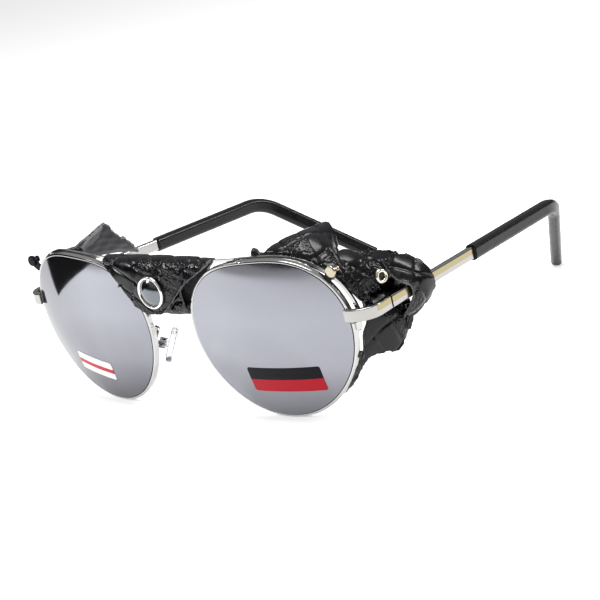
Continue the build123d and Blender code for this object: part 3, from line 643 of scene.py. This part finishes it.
# Near shield: a flange that stands behind the brow bar and carries the roof, a panel outside
# the end piece, and a strap that passes round the temple. Rows run from the nose to the tail.
LEFT_FLANGE = [
    [(36.2, 0.2, 50.4), (36.6, 0.0, 52.2), (37.0, 0.8, 53.3), (37.4, 1.8, 52.9)],
    [(39.5, 0.6, 50.2), (39.6, 0.4, 51.2), (40.0, 1.4, 51.6), (40.2, 3.0, 51.4)],
    [(42.5, 1.0, 50.0), (42.6, 0.7, 52.2), (42.6, 4.0, 53.4), (42.4, 8.8, 53.2)],
    [(47.0, 1.7, 49.6), (47.2, 1.3, 52.4), (47.0, 7.5, 54.8), (45.8, 14.6, 54.4)],
    [(51.6, 2.5, 48.6), (52.2, 2.0, 51.8), (52.2, 9.5, 55.0), (50.5, 20.3, 54.7)],
    [(56.4, 3.3, 46.7), (57.4, 2.8, 49.8), (57.6, 9.0, 52.6), (55.6, 16.6, 49.9)],
    [(60.4, 4.0, 44.6), (61.8, 3.2, 47.0), (62.6, 7.6, 48.7), (61.6, 10.4, 47.0)],
    [(64.0, 5.0, 41.6), (65.8, 4.2, 44.0), (66.8, 6.8, 44.6), (66.4, 8.6, 43.2)],
    [(66.4, 6.3, 38.4), (67.8, 5.9, 39.4), (68.6, 7.2, 39.4), (68.4, 8.8, 38.6)],
    [(67.6, 7.4, 35.4), (68.6, 7.4, 35.7), (69.1, 8.2, 35.5), (68.9, 9.0, 35.1)],
]
LEFT_PANEL = [
    [(57.5, 12.2, 49.4), (60.6, 14.2, 48.9), (64.0, 17.6, 47.4), (66.6, 21.4, 45.9), (68.6, 25.4, 44.4)],
    [(62.6, 8.6, 46.6), (65.4, 11.6, 46.2), (68.0, 16.0, 44.6), (69.3, 20.5, 43.4), (70.4, 26.0, 42.2)],
    [(66.2, 7.4, 41.8), (68.6, 11.6, 41.2), (70.0, 16.2, 40.2), (70.4, 21.0, 39.7), (71.2, 27.0, 39.2)],
    [(67.6, 8.2, 37.4), (68.3, 12.0, 37.1), (68.6, 16.0, 36.8), (68.6, 21.0, 36.6), (69.0, 27.2, 36.6)],
    [(67.8, 9.4, 33.4), (67.9, 12.0, 33.2), (67.8, 16.0, 33.0), (67.5, 21.0, 33.0), (67.4, 27.2, 33.0)],
    [(67.8, 9.2, 29.4), (68.8, 12.0, 29.2), (69.6, 16.0, 29.0), (70.0, 20.6, 29.0), (70.2, 25.6, 28.8)],
    [(67.2, 7.2, 25.6), (68.9, 12.0, 25.4), (70.2, 16.4, 25.0), (70.9, 20.4, 24.8), (70.9, 23.8, 24.4)],
    [(66.8, 6.4, 21.4), (68.2, 11.2, 21.0), (69.6, 15.6, 20.6), (70.2, 19.4, 20.4), (70.2, 21.8, 20.4)],
    [(66.4, 5.8, 18.2), (67.2, 10.0, 17.8), (68.6, 14.0, 17.3), (69.4, 17.2, 16.7), (69.8, 19.2, 17.6)],
]
LEFT_TAIL = [
    [(66.2, 5.6, 20.6), (66.5, 7.2, 20.0), (66.9, 9.2, 19.4)],
    [(64.0, 4.9, 15.8), (64.2, 5.8, 15.5), (64.4, 6.8, 15.2)],
    [(61.2, 4.6, 12.0), (61.4, 5.3, 11.7), (61.6, 6.0, 11.5)],
    [(57.8, 4.3, 9.0), (58.0, 4.9, 8.7), (58.2, 5.4, 8.5)],
    [(54.2, 4.0, 6.4), (54.4, 4.4, 6.2), (54.6, 4.8, 6.2)],
]
LEFT_STRAP = [
    [(69.4, 18.5, 44.4), (69.6, 23.5, 43.8), (70.0, 28.6, 42.6)],
    [(70.8, 18.6, 41.4), (71.8, 25.0, 40.9), (71.9, 31.0, 40.2)],
    [(72.8, 19.6, 38.0), (74.0, 26.6, 37.4), (73.4, 33.0, 37.0)],
    [(74.6, 22.8, 35.2), (75.0, 28.4, 34.4), (74.3, 33.8, 33.6)],
    [(74.6, 23.4, 31.4), (74.9, 28.6, 31.0), (74.1, 33.4, 30.6)],
    [(73.2, 21.6, 27.8), (73.8, 26.8, 27.4), (72.9, 31.6, 27.8)],
    [(71.2, 20.6, 25.2), (71.9, 24.6, 25.0), (71.9, 28.0, 25.6)],
]
LEFT_STRIP = [
    [(71.6, 22.4, 29.0), (71.8, 24.8, 28.8)],
    [(71.6, 22.4, 26.4), (71.9, 24.4, 26.2)],
    [(71.4, 21.6, 24.0), (71.7, 23.6, 23.6)],
    [(71.0, 20.4, 22.4), (71.4, 22.4, 21.6)],
]

# Far shield, as a mirror image: its roof has fallen open and shows the flesh side.
RIGHT_FLANGE = [
    [(38.5, 0.7, 50.2), (38.8, 0.5, 51.6), (39.2, 1.2, 52.0), (39.6, 2.2, 51.8)],
    [(43.5, 1.2, 49.9), (43.7, 0.9, 50.8), (43.8, 4.4, 51.5), (43.6, 8.6, 52.8)],
    [(48.5, 2.0, 48.9), (48.9, 1.8, 49.6), (49.2, 8.5, 50.2), (49.4, 16.0, 51.8)],
    [(53.0, 2.8, 47.4), (53.6, 2.6, 48.0), (54.6, 11.5, 48.2), (56.6, 25.6, 50.9)],
    [(57.4, 3.6, 45.4), (58.2, 3.4, 45.8), (59.4, 11.5, 45.8), (60.6, 24.4, 46.4)],
    [(61.2, 4.3, 43.2), (62.2, 4.1, 43.4), (63.8, 9.5, 43.2), (64.6, 19.0, 43.4)],
    [(64.2, 5.2, 41.0), (65.4, 4.9, 41.6), (66.8, 8.0, 41.2), (67.6, 12.5, 40.6)],
    [(66.2, 6.2, 37.8), (67.4, 6.2, 38.3), (68.4, 7.4, 38.2), (68.4, 9.2, 37.8)],
    [(67.6, 7.4, 35.4), (68.4, 7.5, 35.5), (68.9, 8.2, 35.3), (68.9, 9.0, 35.1)],
]
RIGHT_PANEL = [
    [(57.2, 23.0, 49.6), (57.0, 26.6, 51.0), (58.6, 32.5, 46.2), (60.4, 38.6, 40.6), (63.0, 44.4, 35.6)],
    [(62.6, 15.0, 45.6), (62.6, 22.0, 45.9), (63.6, 29.0, 43.0), (65.0, 34.6, 39.6), (66.6, 39.0, 37.4)],
    [(66.4, 8.0, 41.4), (68.0, 14.0, 41.2), (68.6, 20.6, 40.4), (69.2, 26.6, 39.2), (69.6, 31.6, 38.0)],
    [(67.6, 8.2, 37.4), (68.3, 12.0, 37.1), (68.6, 17.0, 36.8), (68.6, 22.0, 36.6), (69.0, 27.2, 36.6)],
    [(67.8, 9.4, 33.4), (67.9, 12.0, 33.2), (67.8, 16.0, 33.0), (67.5, 21.0, 33.0), (67.4, 27.2, 33.0)],
    [(67.8, 9.2, 29.4), (68.8, 12.0, 29.2), (69.6, 16.0, 29.0), (70.0, 20.6, 29.0), (70.2, 25.6, 28.8)],
    [(67.6, 8.6, 25.6), (69.0, 12.4, 25.4), (70.2, 16.4, 25.0), (70.9, 20.4, 24.8), (70.9, 23.8, 24.4)],
    [(67.2, 7.6, 21.4), (68.4, 11.6, 21.0), (69.6, 15.6, 20.6), (70.2, 19.4, 20.4), (70.2, 21.8, 20.4)],
    [(66.8, 6.8, 18.2), (67.4, 10.4, 17.8), (68.6, 14.0, 17.3), (69.4, 17.2, 16.7), (69.8, 19.2, 17.6)],
]

# Nose cover: from behind the brow bar, over it and down in front to its lower edge.
NOSE_FLAP = [
    [(-21.5, -0.6, 49.8), (-8.0, -0.8, 49.8), (8.0, -0.8, 49.8), (22.0, -0.6, 49.6)],
    [(-22.0, -1.0, 50.7), (-8.0, -1.2, 50.9), (8.0, -1.2, 50.9), (22.8, -1.0, 50.4)],
    [(-22.4, -2.6, 51.3), (-8.0, -2.8, 51.6), (8.0, -2.8, 51.6), (23.4, -2.6, 51.0)],
    [(-22.2, -4.8, 51.2), (-8.0, -5.2, 51.5), (8.0, -5.2, 51.5), (23.0, -4.8, 50.8)],
    [(-21.4, -6.4, 50.0), (-7.6, -6.9, 50.4), (7.6, -6.9, 50.4), (22.0, -6.3, 49.6)],
    [(-19.8, -7.2, 48.0), (-7.0, -8.0, 48.3), (6.8, -8.0, 48.3), (19.8, -7.1, 47.8)],
    [(-16.4, -7.9, 45.2), (-5.6, -8.5, 45.2), (5.0, -8.5, 45.2), (15.8, -7.8, 45.4)],
    [(-13.6, -8.1, 41.6), (-4.6, -8.6, 41.8), (3.6, -8.6, 41.8), (11.0, -8.1, 41.8)],
    [(-11.2, -8.2, 38.4), (-4.0, -8.5, 38.4), (2.6, -8.5, 38.4), (7.2, -8.3, 38.6)],
    [(-8.4, -8.2, 36.0), (-3.6, -8.4, 35.8), (1.0, -8.4, 35.8), (4.2, -8.3, 36.2)],
    [(-5.6, -8.2, 34.7), (-3.0, -8.3, 34.5), (0.2, -8.3, 34.5), (2.2, -8.2, 34.7)],
]
# Its back layer: down behind the bridge, round under the bridge wire and up in front of it.
NOSE_BACK = [
    [(-20.0, -0.5, 49.8), (-8.0, -0.6, 50.1), (8.0, -0.6, 50.1), (22.0, -0.5, 49.8)],
    [(-18.8, -0.7, 46.8), (-7.0, -0.6, 46.6), (7.0, -0.6, 46.6), (18.8, -0.7, 46.8)],
    [(-14.6, -0.8, 42.0), (-6.0, -0.6, 42.0), (6.0, -0.6, 42.0), (14.6, -0.8, 42.0)],
    [(-11.4, -0.8, 38.2), (-5.0, -0.7, 38.0), (5.0, -0.7, 38.0), (11.4, -0.8, 38.2)],
    [(-9.6, -1.2, 35.2), (-4.0, -1.1, 34.6), (4.0, -1.1, 34.6), (9.6, -1.2, 35.2)],
    [(-8.8, -3.0, 33.2), (-4.0, -3.0, 32.7), (4.0, -3.0, 32.7), (9.0, -3.0, 33.2)],
    [(-8.4, -5.2, 34.6), (-4.0, -5.3, 34.4), (4.0, -5.3, 34.4), (8.6, -5.2, 34.6)],
    [(-8.0, -5.5, 38.2), (-4.0, -5.6, 38.2), (4.0, -5.6, 38.2), (8.4, -5.5, 38.2)],
    [(-7.6, -5.5, 42.6), (-4.0, -5.5, 42.6), (4.0, -5.5, 42.6), (8.0, -5.5, 42.6)],
]


def make_shield(side, tables, materials):
    """Side shield from its sheets; each table is (rows, uneven edges, thickness)."""
    turn = 1 if side == "left" else -1
    parts = []
    for seed, (rows, edges, thickness) in enumerate(tables):
        rows = rows if turn > 0 else mirrored(rows)
        parts.append(leather_piece(rows, seed + (1.3 if turn > 0 else 5.1), edges,
                                   thickness=thickness, outer=turn))
    shield = join_leather("shield_leather_" + side, parts, materials)
    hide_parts("side_shield_" + side)
    bend(shield, side)


def bend(obj, side):
    """Bakes the object's placement into its mesh."""
    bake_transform(obj)


def lathe(name, profile, centre, axis, steps=64):
    """Turned piece: the profile is (radius, distance along the axis) in mm."""
    ring = np.array(profile, float)
    angles = np.linspace(0, 2 * math.pi, steps, endpoint=False)
    turn = Vector((0, 0, 1)).rotation_difference(Vector(axis).normalized())
    vertices = []
    for radius, along in ring:
        for angle in angles:
            local = Vector((radius * math.cos(angle), radius * math.sin(angle), along)) * MM
            vertices.append(Vector(centre) + turn @ local)
    faces = []
    for i in range(len(ring) - 1):
        for j in range(steps):
            k = (j + 1) % steps
            faces.append((i * steps + j, i * steps + k, (i + 1) * steps + k, (i + 1) * steps + j))
    mesh = bpy.data.meshes.new(name)
    mesh.from_pydata(vertices, [], faces)
    mesh.polygons.foreach_set("use_smooth", [True] * len(faces))
    obj = bpy.data.objects.new(name, mesh)
    bpy.context.collection.objects.link(obj)
    tidy = bmesh.new()
    tidy.from_mesh(mesh)
    bmesh.ops.remove_doubles(tidy, verts=tidy.verts, dist=1e-6)
    bmesh.ops.recalc_face_normals(tidy, faces=tidy.faces)
    tidy.to_mesh(mesh)
    tidy.free()
    return obj


def arc(centre_radius, centre_along, radius, first, last, steps=10):
    """Points of a profile on a circle, between two angles in degrees."""
    points = []
    for i in range(steps + 1):
        angle = math.radians(first + (last - first) * i / steps)
        points.append((centre_radius + radius * math.cos(angle),
                       centre_along + radius * math.sin(angle)))
    return points


def make_eyelet(side, material):
    """Rolled ring set in the panel, with a dark hole."""
    turn = 1 if side == "left" else -1
    profile = [(1.05, -1.6), *arc(1.6, 0.15, 0.55, 180, 0), (2.15, -0.1), (1.4, -0.1), (1.05, -1.6)]
    eyelet = lathe("eyelet_ring_" + side, profile, place(turn * 69.9, 16.1, 40.0),
                   (turn * 0.97, -0.22, 0.12))
    eyelet.data.materials.append(material)
    bend(eyelet, side)
    return eyelet


def make_snap(ring_material, dome_material):
    """Snap cap: a rolled bright ring round a shallow darker dome."""
    centre = place(0, -8.3, 41.7)
    ring = [(4.0, 0.4)] + arc(4.72, 0.85, 0.48, 170, -20, 14) + [(5.1, 0.1), (4.3, 0.0)]
    dome = [(4.3, 0.8), (4.05, 0.95), (3.8, 1.15), (3.2, 1.5), (2.4, 1.82), (1.4, 2.05), (0.6, 2.13),
            (0.0, 2.15)]
    for name, profile, material in (("snap_ring", ring, ring_material),
                                    ("snap_dome", dome, dome_material)):
        piece = lathe(name, profile, centre, (0, -1, 0), 96)
        piece.data.materials.append(material)
        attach(piece, "nose_flap")
    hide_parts("snap_cap")


def make_leather():
    materials = (leather_material(), suede_material(), raw_edge_material())
    side_edge = ("last_column",)
    panel_edges = ("first_row", "last_column", "last_row")
    tail_and_strap = [(LEFT_TAIL, side_edge, LEATHER_THICKNESS),
                      (LEFT_STRAP, side_edge, LEATHER_THICKNESS)]
    left = [(LEFT_FLANGE, side_edge, LEATHER_THICKNESS), (LEFT_PANEL, panel_edges, LEATHER_THICKNESS),
            *tail_and_strap, (LEFT_STRIP, ("last_row", "last_column"), STRIP_LEATHER)]
    right = [(RIGHT_FLANGE, side_edge, LEATHER_THICKNESS), (RIGHT_PANEL, panel_edges, LEATHER_THICKNESS),
             *tail_and_strap]
    make_shield("left", left, materials)
    make_shield("right", right, materials)
    flap_part = leather_piece(NOSE_FLAP, 2.4, ("first_column", "last_column", "last_row"), 0.7,
                              thickness=1.0)
    flap = join_leather("nose_flap_leather", [flap_part], materials)
    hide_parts("nose_cover_front")
    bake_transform(flap)
    back_part = leather_piece(NOSE_BACK, 4.4, ("first_column", "last_column"), 0.5, outer=-1)
    back = join_leather("nose_back_leather", [back_part], materials)
    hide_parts("nose_cover_back")
    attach(back, "front")


def main():
    make_studio()
    paint_cad()
    make_leather()
    brass = metal("eyelet_metal", (0.80, 0.74, 0.62), 0.12)
    eyelets = [make_eyelet(side, brass) for side in ("left", "right")]
    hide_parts("eyelets")
    make_snap(metal("snap_ring", (0.84, 0.83, 0.80), 0.08),
              metal("snap_dome", (0.17, 0.185, 0.20), 0.14))


main()
